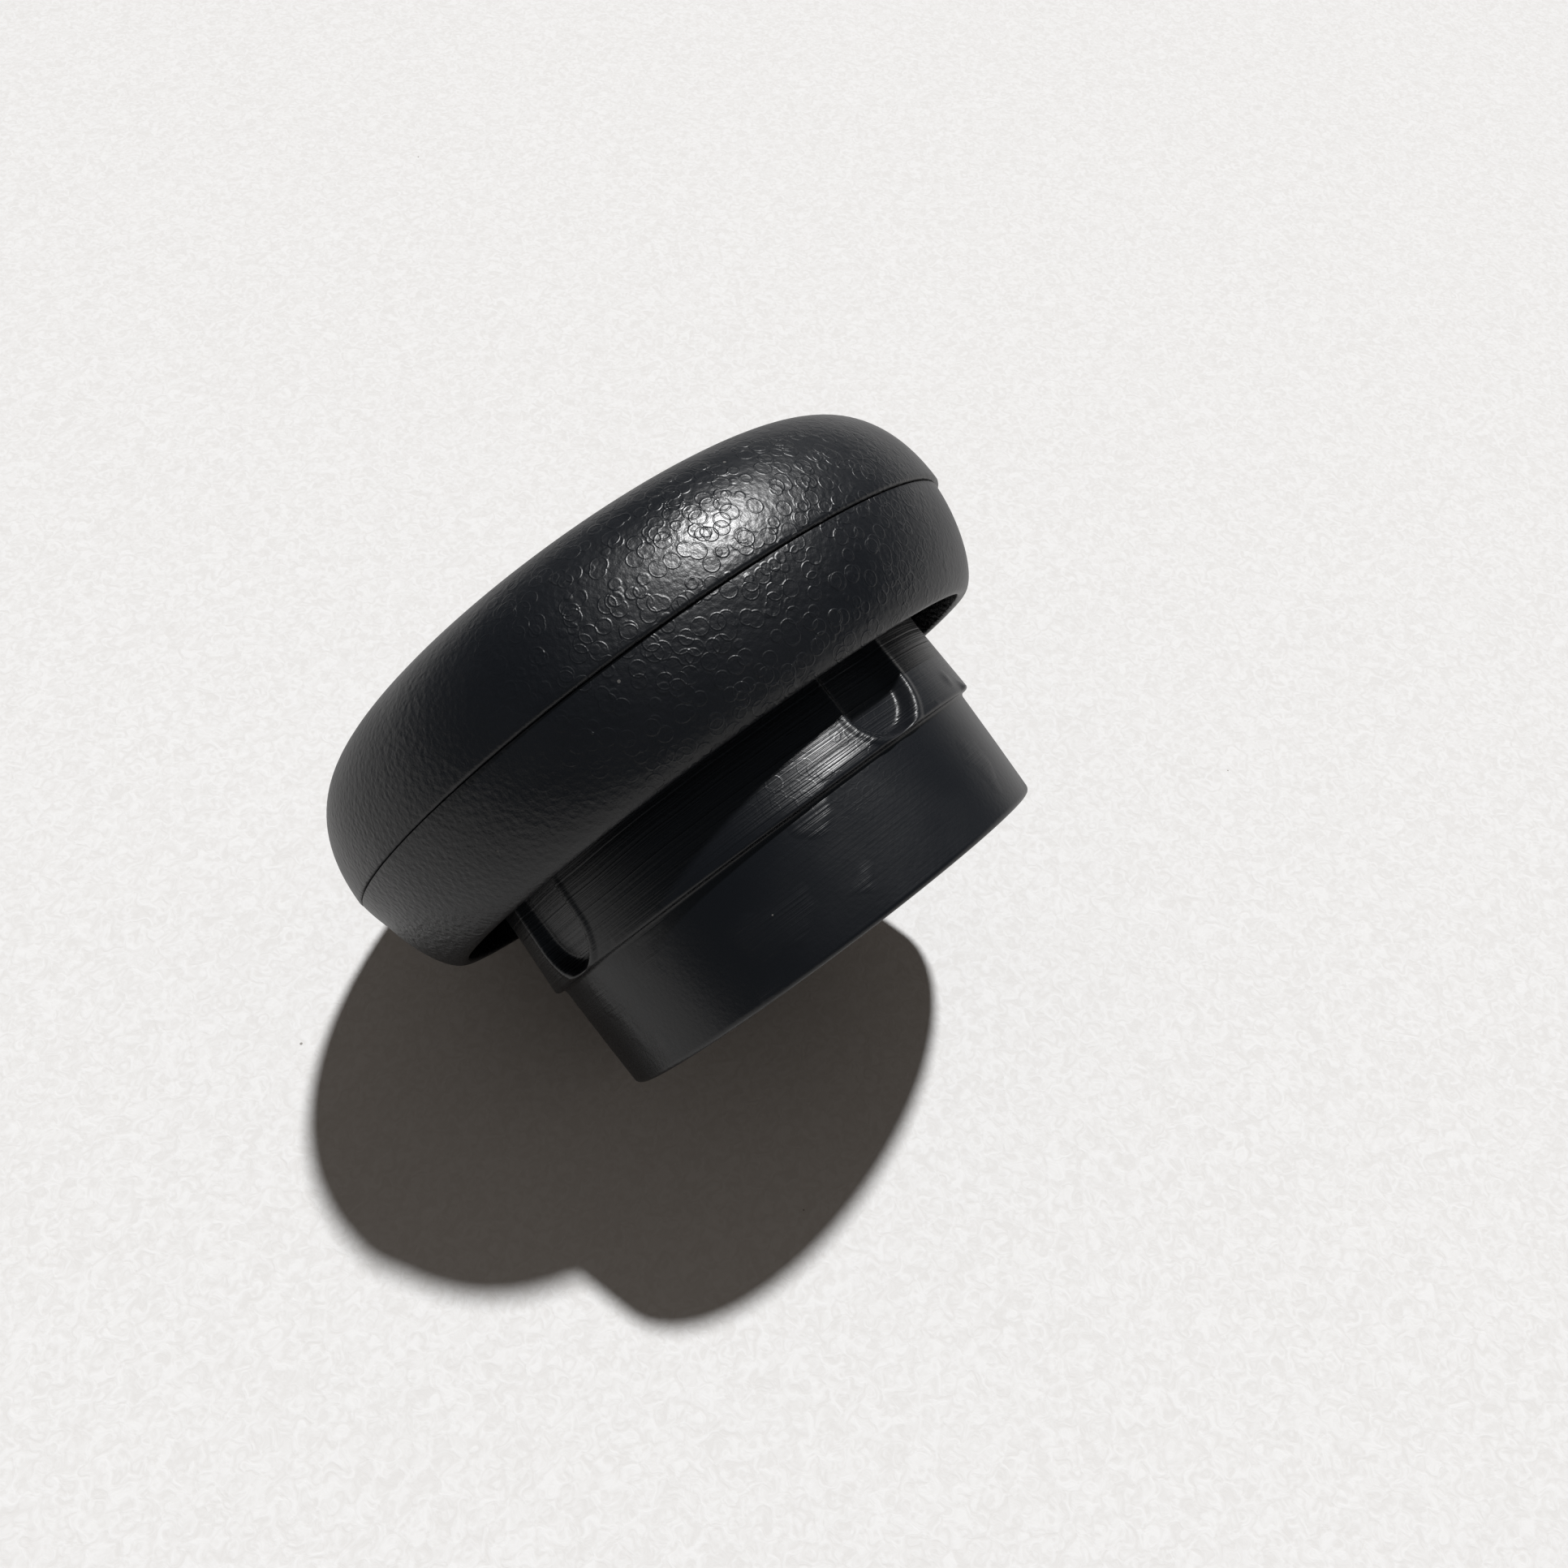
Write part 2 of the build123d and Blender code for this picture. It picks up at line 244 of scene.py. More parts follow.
# %% [markdown]
# ## Holes and bosses at the screws
# Four screws hold the rim and the collar together. Each part that they pass through needs the same
# four holes, so one helper adds four upright cylinders at the screws and joins them. The joined
# set is then cut out of a part, or added to it, with a Boolean modifier. A cutter reaches past the
# face that it cuts, because two faces in one plane leave a Boolean with nothing to decide by.

# %% Posts at the four screws
screw_count = 4
first_screw = 45.0
screw_turns = [first_screw + 360 / screw_count * turn for turn in range(screw_count)]
screw_head_radius = 1.9
screw_ring = (screw_high.x - screw_head_radius) / cos(radians(first_screw))
screw_hole = 1.3
past_face = 1.0


def posts(radius, foot, head, sides=32):
    """Four upright cylinders at the screws, joined into one object."""
    bpy.ops.object.select_all(action="DESELECT")
    made = []
    for turn in screw_turns:
        place = Vector((cos(radians(turn)), sin(radians(turn)), 0)) * screw_ring
        place.z = (foot + head) / 2
        bpy.ops.mesh.primitive_cylinder_add(
            vertices=sides, radius=radius * MM, depth=(head - foot) * MM, location=place * MM)
        made.append(bpy.context.object)
    for post in made:
        post.select_set(True)
    bpy.ops.object.join()
    bpy.ops.object.transform_apply(location=True, rotation=True, scale=True)
    return bpy.context.object


def carve(piece, tool, operation="DIFFERENCE"):
    """Cuts the tool out of a piece, or adds it, and removes the tool."""
    use(piece, "BOOLEAN", operation=operation, solver="EXACT", object=tool)
    bpy.data.objects.remove(tool)
    return piece


print("screws on a circle of", round(screw_ring, 2), "mm radius")

# %% [markdown]
# ## The upper shell
# The upper half of the rim is a thin dome like the top of a bun. Its lower edge stands a little
# proud of the lower half, so that the join reads as a soft step with a thin shadow under it. In
# the middle it drops to a ledge where the cap sits, and a skirt hangs from the ledge. Four bosses
# inside take the screws. The dome is turned, and the bosses are added to it and drilled.

# %% Turn the upper shell
seam = ring_top - 1.6
wall = 2.0
crown_radius = 21.4
crown_fullness = 2.33
recess_radius = cap_radius + 0.3
ledge_radius = recess_radius - 2.7
ledge_top = rim_top - 2.05
ledge_foot = ledge_top - 2.0
skirt_inner, skirt_outer = 18.9, recess_radius + 0.05
skirt_foot = rim_low.z
seam_round = 0.32
mouth_round = 0.3
rim_steps = 288
boss_radius = 2.4
boss_top = rim_top - wall + 0.2
pilot_top = 14.1

outside = quarter((rim_radius, seam), (crown_radius, rim_top), crown_fullness, steps=28)
inside = quarter((rim_radius - wall, ring_top + 0.05), (crown_radius + 1, rim_top - wall),
                 crown_fullness, steps=14)
upper_shell = turned("rim_upper_shell", [
    (*outside[0], seam_round), *outside[1:],
    (recess_radius, rim_top, mouth_round), (recess_radius, ledge_top, 0.15),
    (ledge_radius, ledge_top, 0.2), (ledge_radius, ledge_foot, 0.2), (skirt_inner, ledge_foot, 0.15),
    (skirt_inner, skirt_foot, 0.2), (skirt_outer, skirt_foot, 0.2), (skirt_outer, ledge_foot, 0.3),
    *reversed(inside), (rim_radius - wall, seam, 0.1),
], steps=rim_steps)
carve(upper_shell, posts(boss_radius, skirt_foot, boss_top), "UNION")
carve(upper_shell, posts(screw_hole, skirt_foot - past_face, pilot_top))
smooth(upper_shell)
print("upper shell", len(upper_shell.data.polygons), "faces once drilled")

# %% [markdown]
# ## The lower shell
# The lower half rolls under to a lip that stands clear of the collar, and the desk's top carries
# the flat land under that lip. A web reaches in to where the screws clamp it, and a low ring goes
# up inside the upper shell and keeps the two in line. It is turned too. Moulded halves never meet
# evenly all round, so the points near the seam are then pushed out a little on one side, where
# the step all but fades.

# %% Turn the lower shell
lip_radius = 25.6
lip_land = 0.6
lip_height = 1.8
belly_fullness = 1.63
web_foot, web_top = 6.4, skirt_foot
web_bore = 20.1
ring_radius = rim_radius - wall - 0.05
ring_wall = 1.6
seam_crack = 0.04
step_radius = shell_high.x
faded_side = -85
fade, fade_reach = 0.32, 2.5

rolled = quarter((step_radius, seam - seam_crack), (lip_radius + lip_land, 0), belly_fullness, steps=24)
hollow = quarter((step_radius - wall, web_foot), (lip_radius, lip_height), belly_fullness, steps=12)
lower_shell = turned("rim_lower_shell", [
    (*rolled[0], 0.06), *rolled[1:], (lip_radius, 0, 0.28), *reversed(hollow),
    (web_bore, web_foot, 0.2), (web_bore, web_top, 0.2), (ring_radius - ring_wall, web_top, 0.2),
    (ring_radius - ring_wall, ring_top, 0.2), (ring_radius, ring_top, 0.2),
    (ring_radius, seam - seam_crack),
], steps=rim_steps)
for vertex in lower_shell.data.vertices:
    out = hypot(vertex.co.x, vertex.co.y)
    near_seam = max(1 - abs(vertex.co.z / MM - seam) / fade_reach, 0)
    if out > (ring_radius + 0.2) * MM and near_seam:
        side = max(Vector((vertex.co.x, vertex.co.y, 0)).normalized().dot(towards(faded_side)), 0)
        push = 1 + (fade * MM * side * near_seam) / out
        vertex.co.x *= push
        vertex.co.y *= push
carve(lower_shell, posts(screw_hole, web_foot - past_face, web_top + past_face))
smooth(lower_shell)
print("lower shell", len(lower_shell.data.polygons), "faces once drilled")

# %% [markdown]
# ## The collar
# The collar is the sleeve in the desk's hole: a band that fills the hole, a small step, and a
# slimmer part with a rounded foot. It is turned like the shells, but its outside gets extra rows
# of points, which the scoops need in the next step.

# %% Turn the collar
band_foot = -desk_mount["dims"]["length_mm"] - 0.1
slim_radius = band_radius - 0.85
tip_radius = slim_radius - 0.2
bore = band_radius - 3.1
neck_radius = band_radius - 0.3
spigot_radius = 20.0
head_height = 1.5
flange_foot = screw_low.z + head_height
band_rows, throat_rows = 18, 12

band = [(neck_radius + (band_radius - neck_radius) * row / band_rows, band_foot * row / band_rows)
        for row in range(band_rows)]
throat = [(neck_radius, flange_foot * (1 - row / throat_rows)) for row in range(1, throat_rows)]
collar = turned("hole_collar", [
    (bore, collar_tip, 0.45), (bore, collar_top, 0.3),
    (spigot_radius, collar_top, 0.2), (spigot_radius, web_foot),
    (flange_radius, web_foot, 0.2), (flange_radius, flange_foot, 0.2), (neck_radius, flange_foot),
    *throat, *band, (band_radius, band_foot, 0.4), (slim_radius + 0.05, band_foot, 0.3),
    (slim_radius - 0.05, (band_foot + collar_tip) / 2), (tip_radius, collar_tip, 0.5),
], steps=360)

# %% [markdown]
# ## The scoops
# Four scoops in the band let a driver reach the screws. They have a round bottom, a flat floor and
# soft walls, as a moulding tool leaves them, and a low bead runs round each mouth. A Boolean cut
# would leave hard walls, so the faces near each scoop are divided finely, and the points there are
# pressed in. How far a point goes in depends only on how far inside the scoop's U-shaped outline
# it lies.

# %% Find the scoops
scoop_half = 3.1
scoop_foot = band_foot + 0.45
scoop_middle = scoop_foot + scoop_half
scoop_reach = 1.5
skin_radius = neck_radius - 0.5


def in_scoop(place):
    """How far inside a scoop's outline a place lies, in millimetres, and that scoop's direction."""
    found = None
    for turn in screw_turns:
        outwards = Vector((cos(radians(turn)), sin(radians(turn)), 0))
        across = place.dot(Vector((-outwards.y, outwards.x, 0)))
        if place.dot(outwards) < 0 or abs(across) > 2 * scoop_half:
            continue
        below = min(place.z - scoop_middle, 0)
        found = scoop_half - hypot(across, below), outwards
    return found


def near_scoop(face):
    """True for a face of the band's outside that a scoop, its wall or its bead can reach."""
    place = face.calc_center_median() / MM
    found = in_scoop(place)
    if not found or hypot(place.x, place.y) < skin_radius:
        return False
    return found[0] > -scoop_reach and band_foot - 0.1 < place.z < flange_foot


with editing(collar):
    pick(collar, "FACE", near_scoop)
    bpy.ops.mesh.subdivide(number_cuts=2)
print("collar", len(collar.data.polygons), "faces once divided")

# %% Press the scoops in
scoop_depth = 1.3
scoop_wall = 1.15
bead_height, bead_half = 0.14, 0.6
bead_line = scoop_wall / 2 + 0.15

for vertex in collar.data.vertices:
    place = vertex.co / MM
    found = in_scoop(place)
    on_skin = hypot(place.x, place.y) >= skin_radius
    if not found or not on_skin or not band_foot - 0.1 < place.z < flange_foot - 0.01:
        continue
    inside_by, outwards = found
    share = min(max((inside_by + scoop_wall / 2) / scoop_wall, 0), 1)
    share = share * share * (3 - 2 * share)
    floor_gap = place.dot(outwards) - (band_radius - scoop_depth)
    vertex.co -= outwards * max(floor_gap, 0) * share * MM
    off_bead = min(abs(inside_by + bead_line) / bead_half, 1)
    vertex.co += outwards * bead_height * (1 - off_bead ** 2) ** 2 * MM

print("scoops", scoop_depth, "mm deep")

# %% [markdown]
# ## Flash and the collar's screw holes
# Plastic that creeps between the halves of a mould leaves tiny nubs of flash. They could be small
# beads joined on, but flash grows out of the skin, so a few points are pulled out instead. Each
# nub has its azimuth, its height and how far it stands out. The screws' holes are cut last.

# %% Pull out the flash and drill the collar
flash_reach = 0.9
flash_nubs = [(77.6, band_foot + 0.2, 0.3), (71.0, band_foot + 1.6, 0.14), (-82.0, -12.0, 0.12)]

for azimuth, height, swell in flash_nubs:
    spot = towards(azimuth) * band_radius + Vector((0, 0, height))
    for vertex in collar.data.vertices:
        place = vertex.co / MM
        if hypot(place.x, place.y) > tip_radius - 0.5:
            near = max(1 - (place - spot).length / flash_reach, 0)
            vertex.co += towards(azimuth) * swell * near * MM
carve(collar, posts(screw_hole, flange_foot - past_face, web_foot + past_face / 2))
smooth(collar, 50)
print("collar", len(collar.data.polygons), "faces and", len(flash_nubs), "nubs of flash")

# %% [markdown]
# ## The screws
# Each screw is a small pan-head self-tapping screw. Its blank is turned like the other round
# parts. The thread could be a separate coil laid round the shank, but real threads are rolled out
# of the blank itself, so the shank gets many fine rows of points, and each point moves out where
# the thread passes it. The cross for the driver is cut with two tapered bars. One screw is made on
# the axis, and the copies are set round the collar, each with its own mesh and each turned by a
# different amount, because no one drives four screws to the same angle.

# %% Turn and thread one screw
head_foot = screw_low.z
head_top = head_foot + head_height
point_top = screw_high.z
point_length = 0.96
shank_top = point_top - point_length
core_radius, crest_radius = 0.95, 1.2
pitch = 0.8
rows_per_pitch = 8
shank_rows = ceil((shank_top - head_top) / pitch * rows_per_pitch)
shank = [(core_radius, head_top + (shank_top - head_top) * row / shank_rows)
         for row in range(shank_rows + 1)]
screw = turned("collar_screw_1", [
    (0, head_foot), (screw_head_radius, head_foot, 0.6), (screw_head_radius, head_top, 0.12),
    *shank, (0.12, point_top), (0, point_top),
], steps=24, arc=4)

for vertex in screw.data.vertices:
    place = vertex.co / MM
    if hypot(place.x, place.y) < core_radius - 0.01 or not head_top + 0.3 < place.z < shank_top + 0.1:
        continue
    turn = atan2(place.y, place.x) / tau
    along = (place.z / pitch - turn) % 1
    ridge = max(1 - abs(along - 0.5) * 4, 0)
    swell = 1 + (crest_radius / core_radius - 1) * ridge
    vertex.co.x *= swell
    vertex.co.y *= swell

print("thread of", round((shank_top - head_top) / pitch, 1), "turns")

# %% Cut the driver's cross
cross_size = (2.5, 0.5, 1.3)
cross_taper = 0.45


def driver_bar(turn):
    """A bar for one arm of the driver's cross, narrower towards its inner end."""
    bpy.ops.object.select_all(action="DESELECT")
    bpy.ops.mesh.primitive_cube_add(size=MM, location=(0, 0, (head_foot + 0.2) * MM))
    bar = bpy.context.object
    bar.scale = cross_size
    bar.rotation_euler.z = radians(turn)
    bpy.ops.object.transform_apply(location=True, rotation=True, scale=True)
    with editing(bar):
        pick(bar, "FACE", lambda face: face.normal.z > 0.9)
        bpy.ops.transform.resize(value=(cross_taper, cross_taper, 1), center_override=(0, 0, 0))
    return bar


for turn in (0, 90):
    carve(screw, driver_bar(turn))
smooth(screw, 40)
print("screw", len(screw.data.polygons), "faces")

# %% Set four screws round the collar
twist = 1.7

screws = [screw]
for number in range(2, screw_count + 1):
    copy = bpy.data.objects.new(f"collar_screw_{number}", screw.data.copy())
    bpy.context.scene.collection.objects.link(copy)
    screws.append(copy)
for turn, copy in zip(screw_turns, screws):
    outwards = Vector((cos(radians(turn)), sin(radians(turn)), 0)) * screw_ring * MM
    copy.data.transform(Matrix.Translation(outwards) @ Matrix.Rotation(radians(turn * twist), 4, "Z"))

print(len(screws), "screws")

# %% [markdown]
# ## The cap
# The cap is a round plate with a slot from near its middle out to its edge, and a short skirt
# that centres it in the rim. The plate could be a cylinder with the slot cut out, but then the
# slot's edges would be hard to round. Instead its outline, slot included, is one flat loop that
# is filled and extruded, so that the rounding runs all the way along it. The skirt and the pin's
# two ears are then added, and the hole for the flap's pin is drilled through them. A second helper
# makes the round bars along the hinge: the drill here, and the flap's knuckles and the pin later.

# %% Plates with rounded edges
edge_faces = 3


def plate(name, outline, foot, head, edge, keep_sharp=None):
    """A flat outline of (x, y) corners, extruded from foot to head, with its rims rounded."""
    bpy.ops.object.select_all(action="DESELECT")
    bpy.ops.mesh.primitive_circle_add(vertices=len(outline), radius=MM, fill_type="NGON")
    piece = bpy.context.object
    piece.name = piece.data.name = name
    for vertex, corner in zip(piece.data.vertices, outline):
        vertex.co = (corner[0] * MM, corner[1] * MM, foot * MM)
    with editing(piece):
        bpy.ops.mesh.select_all(action="SELECT")
        bpy.ops.mesh.extrude_region_move(TRANSFORM_OT_translate={"value": (0, 0, (head - foot) * MM)})
        bpy.ops.mesh.select_all(action="SELECT")
        bpy.ops.mesh.normals_make_consistent(inside=False)
        pick(piece, "EDGE", lambda e: abs(e.verts[0].co.z - e.verts[1].co.z) < SAME
             and not (keep_sharp and keep_sharp((e.verts[0].co + e.verts[1].co) / 2 / MM)))
        bpy.ops.mesh.bevel(offset=edge * MM, segments=edge_faces, affect="EDGES",
                           clamp_overlap=False)
    print(name, len(piece.data.polygons), "faces")
    return piece


print("each rounded edge of a plate has", edge_faces, "faces across it")

# %% Round bars along the hinge
pin_place = (pin_low.y + pin_high.y) / 2
pin_height = (pin_low.z + pin_high.z) / 2
pin_radius = (pin_high.z - pin_low.z) / 2
pin_hole = pin_radius + 0.05


def rod(radius, length, middle=0.0, sides=32, edge=0.0, arc=2):
    """A round bar along the flap's hinge, its middle at that X, with its ends rounded by the edge."""
    bpy.ops.object.select_all(action="DESELECT")
    bpy.ops.mesh.primitive_cylinder_add(
        vertices=sides, radius=radius * MM, depth=length * MM, rotation=(0, pi / 2, 0),
        location=Vector((middle, pin_place, pin_height)) * MM)
    bpy.ops.object.transform_apply(location=True, rotation=True, scale=True)
    bar = bpy.context.object
    if edge:
        with editing(bar):
            pick(bar, "EDGE", lambda e: abs(e.verts[0].co.x - e.verts[1].co.x) < SAME)
            bpy.ops.mesh.bevel(offset=edge * MM, segments=arc, affect="EDGES")
    return bar


print("hinge at", round(pin_place, 2), round(pin_height, 2))

# %% Make the cap
plate_foot = rim_top - 2.0
slot_half = flap_high.x + 0.2
slot_start = 2.6
slot_round = 0.5
cap_edge = 0.28
mouth_angle = degrees(atan2(slot_half, (cap_radius ** 2 - slot_half ** 2) ** 0.5))


def rim_arc(start, end, radius, steps):
    """Points of an arc about the axis, its angles counted in degrees from +Y clockwise."""
    angles = [radians(start + (end - start) * step / steps) for step in range(steps + 1)]
    return [(radius * sin(angle), radius * cos(angle)) for angle in angles]


def small_arc(centre, radius, start, end, steps):
    """Points of an arc about a centre, its angles counted in degrees from +X."""
    angles = [radians(start + (end - start) * step / steps) for step in range(steps + 1)]
    return [(centre[0] + radius * cos(angle), centre[1] + radius * sin(angle)) for angle in angles]


corner = slot_half - slot_round
cap = plate("turning_cap", [
    *rim_arc(mouth_angle, 360 - mouth_angle, cap_radius, 200),
    *small_arc((-corner, slot_start + slot_round), slot_round, 180, 270, 5),
    *small_arc((corner, slot_start + slot_round), slot_round, 270, 360, 5),
], plate_foot, rim_top, cap_edge)

# %% Add the cap's skirt and ears
cap_skirt_outer = ledge_radius - 0.05
cap_skirt_inner = cap_skirt_outer - 1.5
seal_height = (seal_low.z + seal_high.z) / 2
seal_wire = (seal_high.z - seal_low.z) / 2
groove_half = seal_wire + 0.05
groove_floor = seal_high.x - 2 * seal_wire - 0.05
weld = 0.05
cap_skirt = turned("cap_skirt", [
    (cap_skirt_inner, cap_low.z, 0.3), (cap_skirt_outer, cap_low.z, 0.3),
    (cap_skirt_outer, seal_height - groove_half, 0.1), (groove_floor, seal_height - groove_half, 0.1),
    (groove_floor, seal_height + groove_half, 0.1), (cap_skirt_outer, seal_height + groove_half, 0.1),
    (cap_skirt_outer, plate_foot + weld), (cap_skirt_inner, plate_foot + weld),
], steps=200)
carve(cap, cap_skirt, "UNION")

ear_length, ear_width, ear_foot = 2.3, 3.2, pin_height - 1.6
for side in (-1, 1):
    middle = side * (slot_half + ear_length / 2)
    ear = plate("ear", [
        (middle + x * ear_length / 2, pin_place + y * ear_width / 2)
        for x, y in ((-1, -1), (1, -1), (1, 1), (-1, 1))
    ], ear_foot, plate_foot + 0.3, 0.2)
    carve(cap, ear, "UNION")
carve(cap, rod(pin_hole, 2 * (slot_half + ear_length) + 0.02))
smooth(cap, 35)
print("cap", len(cap.data.polygons), "faces")

# %% [markdown]
# ## The seal
# A rubber ring lies in a groove of the cap's skirt and grips the ledge. A torus would do, but a
# moulded ring has a fine parting line round its widest place, so its section gets that small
# ridge before it is turned.

# %% Turn the seal
seal_centre = seal_high.x - seal_wire
parting_line = 0.03
seal_section = small_arc((seal_centre, seal_height), seal_wire, 8, 352, 20)
seal_section.append((seal_centre + seal_wire + parting_line, seal_height))
seal = turned("cap_seal_ring", seal_section, steps=160)
smooth(seal, 60)
print("seal wire", round(2 * seal_wire, 2), "mm thick")

# %% [markdown]
# ## The flap
# The flap closes the slot and swings up when a cable is pushed past it. Its free end has a round
# notch that leaves room for thin cables while it is shut. Its outline is filled and extruded like
# the cap's. Two knuckles along its inner end turn on the pin, with the spring between them. They
# are short bars with rounded ends, joined to the plate, and the pin's hole goes through both.

# %% Make the flap
flap_half = flap_high.x
flap_foot = plate_foot + 0.15
flap_edge = 0.26
knuckle_radius = rim_top - pin_height - 0.04
coil_room = (coil_high.x - coil_low.x) / 2 + 0.2
coil_front = pin_place + (coil_high.z - pin_height) + 0.25
notch_radius = 3.5
notch_centre = cap_skirt_inner - 6.0 + notch_radius


def at_edge(x):
    """Where the cap's edge lies at this distance from the slot's middle line."""
    return (cap_radius ** 2 - x ** 2) ** 0.5


edge_steps = [flap_half - (flap_half - notch_radius) * step / 6 for step in range(7)]
flap = plate("cable_flap_tab", [
    (-flap_half, pin_place), (-coil_room, pin_place), (-coil_room, coil_front),
    (coil_room, coil_front), (coil_room, pin_place), (flap_half, pin_place),
    *[(x, at_edge(x)) for x in edge_steps],
    *small_arc((0, notch_centre), notch_radius, 0, -180, 28),
    *[(-x, at_edge(x)) for x in reversed(edge_steps)],
], flap_foot, rim_top, flap_edge, keep_sharp=lambda place: place.y < pin_place + 0.01)

# %% Add the flap's knuckles
knuckle_length = flap_half - coil_room - 0.06
knuckle_middle = (flap_half + coil_room) / 2
for side in (-1, 1):
    knuckle = rod(knuckle_radius, knuckle_length, side * knuckle_middle, sides=48, edge=0.15)
    carve(flap, knuckle, "UNION")
carve(flap, rod(pin_hole, 2 * flap_half + past_face))
smooth(flap, 35)
print("flap", len(flap.data.polygons), "faces")

# %% [markdown]
# ## The pin and the spring
# The pin is a length of drawn steel wire with rounded ends, so it is a bar along the hinge. The
# spring is a close coil of finer wire round the pin, with one leg under the cap and one under the
# flap. A coil could be spun from a small circle, but its legs could not, so the whole spring is one
# curve whose points come from a formula. The curve is given a thickness and then made a mesh.

# %% Make the pin
pin = rod(pin_radius, pin_high.x - pin_low.x, edge=0.22, arc=4)
pin.name = pin.data.name = "flap_hinge_pin"
smooth(pin, 40)
print("pin", len(pin.data.polygons), "faces")

# %% Wind the spring
spring_turns = 7
spring_wire = 0.16
wire_room = 0.18
coil_radius = (coil_high.z - pin_height) - wire_room
coil_half = (coil_high.x - coil_low.x) / 2 - wire_room
leg_drop = 0.23
flap_leg_height = flap_foot - leg_drop
cap_leg_height = plate_foot - leg_drop
first_angle = 195
swept = 360 * spring_turns + 150
coil_steps = 28 * spring_turns + 11

spring_points = [
    Vector((-coil_half, coil_low.y + 0.05, cap_leg_height)),
    Vector((-coil_half, pin_place - 1.1, cap_leg_height)),
]
for step in range(coil_steps + 1):
    share = step / coil_steps
    angle = radians(first_angle - swept * share)
    spring_points.append(Vector((
        coil_half * (2 * share - 1),
        pin_place + coil_radius * cos(angle),
        pin_height + coil_radius * sin(angle),
    )))
spring_points.append(Vector((coil_half, coil_high.y - 0.05, flap_leg_height)))
print("spring path of", len(spring_points), "points")

# %% Make the spring's wire
wire = bpy.data.curves.new("spring_wire", "CURVE")
wire.dimensions = "3D"
wire.bevel_depth = spring_wire * MM
wire.bevel_resolution = 3
wire.use_fill_caps = True
line = wire.splines.new("POLY")
line.points.add(len(spring_points) - 1)
for point, place in zip(line.points, spring_points):
    point.co = (*(place * MM), 1)
spring = bpy.data.objects.new("flap_return_spring", wire)
bpy.context.scene.collection.objects.link(spring)
only(spring)
bpy.ops.object.convert(target="MESH")
spring = bpy.context.object
smooth(spring, 60)
print("spring", len(spring.data.polygons), "faces")

# %% [markdown]
# ## Joining the visual parts to the solid ones
# Every new piece moves with a body of the model and takes the place of one solid part. The screws
# are four pieces that together take the place of one solid part.

# %% Ride and replace
riders = {
    "rim": {"upper_shell": [upper_shell], "lower_shell": [lower_shell], "collar": [collar],
            "collar_screws": screws},
    "seal": {"cap_seal": [seal]},
    "cap": {"cap": [cap], "flap_pin": [pin], "flap_spring": [spring]},
    "flap": {"cable_flap": [flap]},
}
slots = {part["node"]: part["material_slot"] for part in frame["record"]["subparts"]}
for body, nodes in riders.items():
    for node_name, made in nodes.items():
        for piece in made:
            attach(piece, body)
            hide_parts(node_name)
            print(piece.name, "rides", body, "and has the finish", slots[node_name])

# %% [markdown]
# ## Building shader nodes
# A few helpers keep the materials short. The first fills a node's inputs, where a value may be a
# plain number or another node's output. The next ones add a node, do one step of arithmetic, turn
# one range of values smoothly into another and mix two colours. The last two start a node group
# with named sockets, for an effect that several materials share, and put it into a material.

# %% Node helpers
def fill_inputs(tree, made, inputs):
    """Gives each named input a plain value, or a link from another node's output."""
    for key, value in inputs.items():
        if isinstance(value, bpy.types.NodeSocket):
            tree.links.new(value, made.inputs[key])
        else:
            made.inputs[key].default_value = value


def node(tree, kind, inputs=None, **settings):
    """Adds a shader node with its settings and its inputs."""
    made = tree.nodes.new("ShaderNode" + kind)
    for name, value in settings.items():
        setattr(made, name, value)
    fill_inputs(tree, made, inputs or {})
    return made


def maths(tree, operation, *values, clamp=False):
    """One step of arithmetic."""
    return node(tree, "Math", dict(enumerate(values)), operation=operation, use_clamp=clamp).outputs[0]


def band_of(tree, value, low, high, start=0.0, end=1.0):
    """Smoothly turns a value between low and high into one between start and end."""
    made = node(tree, "MapRange", {0: value, 1: low, 2: high, 3: start, 4: end},
                interpolation_type="SMOOTHSTEP")
    return made.outputs[0]


def blend(tree, share, first, second):
    """Mixes two colours."""
    return node(tree, "Mix", {0: share, 6: first, 7: second}, data_type="RGBA").outputs[2]


def group(name, numbers, result="Height"):
    """A node group with a place and some numbers in, and one number out."""
    tree = bpy.data.node_groups.new(name, "ShaderNodeTree")
    tree.interface.new_socket(name="Place", in_out="INPUT", socket_type="NodeSocketVector")
    for label, value in numbers.items():
        socket = tree.interface.new_socket(name=label, in_out="INPUT", socket_type="NodeSocketFloat")
        socket.default_value = value
    tree.interface.new_socket(name=result, in_out="OUTPUT", socket_type="NodeSocketFloat")
    start = tree.nodes.new("NodeGroupInput")
    end = tree.nodes.new("NodeGroupOutput")
    return tree, start.outputs, end.inputs[result]


def shared(tree, effect, inputs):
    """Puts a node group into a material and returns its output."""
    made = tree.nodes.new("ShaderNodeGroup")
    made.node_tree = effect
    fill_inputs(tree, made, inputs)
    return made.outputs[0]


print("node helpers ready")
